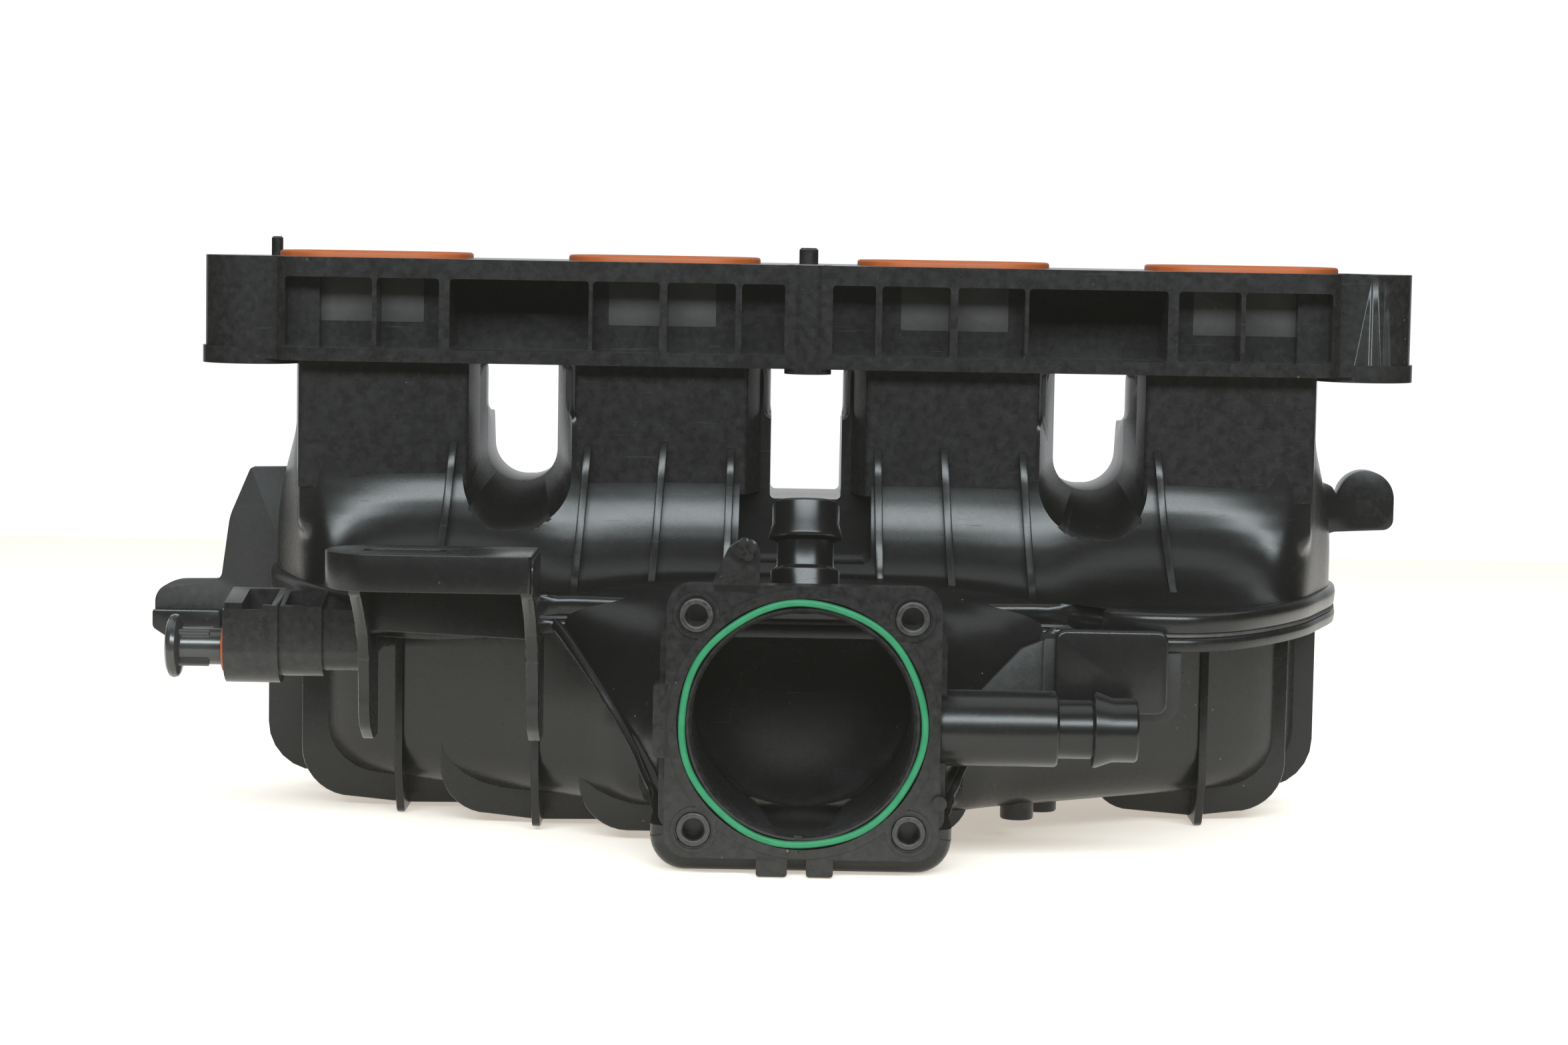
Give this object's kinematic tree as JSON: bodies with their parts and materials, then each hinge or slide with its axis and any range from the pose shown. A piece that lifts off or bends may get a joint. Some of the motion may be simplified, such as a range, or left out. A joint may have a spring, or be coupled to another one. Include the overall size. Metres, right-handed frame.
{
  "type": "intake manifold",
  "caption": "Moulded nylon intake manifold: welded shells with runners between a ribbed head flange and a plenum, rubber seals and a square throttle flange.",
  "frame": {"origin": "middle of the head face, on the line through the port centres", "axes": "+Z out of the head face, +X along the row of ports, -Y out of the throttle flange"},
  "size_m": [0.378, 0.16, 0.1695],
  "materials": {
    "nylon": "satin black glass-filled nylon",
    "orange_rubber": "matte silicone",
    "green_rubber": "matte rubber",
    "steel": "zinc plated",
    "insert_metal": "turned and blackened",
    "grey_plastic": "gloss"
  },
  "bodies": {
    "manifold": {"runner_shell": "nylon", "plenum_shell": "nylon", "rear_shell": "nylon", "port_gasket_1": "orange_rubber", "port_gasket_2": "orange_rubber", "port_gasket_3": "orange_rubber", "port_gasket_4": "orange_rubber", "throttle_seal": "green_rubber", "throttle_insert_1": "insert_metal", "throttle_insert_2": "insert_metal", "throttle_insert_3": "insert_metal", "throttle_insert_4": "insert_metal", "head_limiter_1": "steel", "head_limiter_2": "steel", "head_limiter_3": "steel", "head_limiter_4": "steel", "head_limiter_5": "steel", "stay_insert_1": "insert_metal", "stay_insert_2": "insert_metal", "socket_seal": "orange_rubber"},
    "plug": {"transit_plug": "grey_plastic"}
  },
  "joints": [
    {"name": "plug_pull", "type": "slide", "parent": "manifold", "child": "plug", "axis": [-1, 0, 0], "range_m": [0, 0.03]}
  ]
}
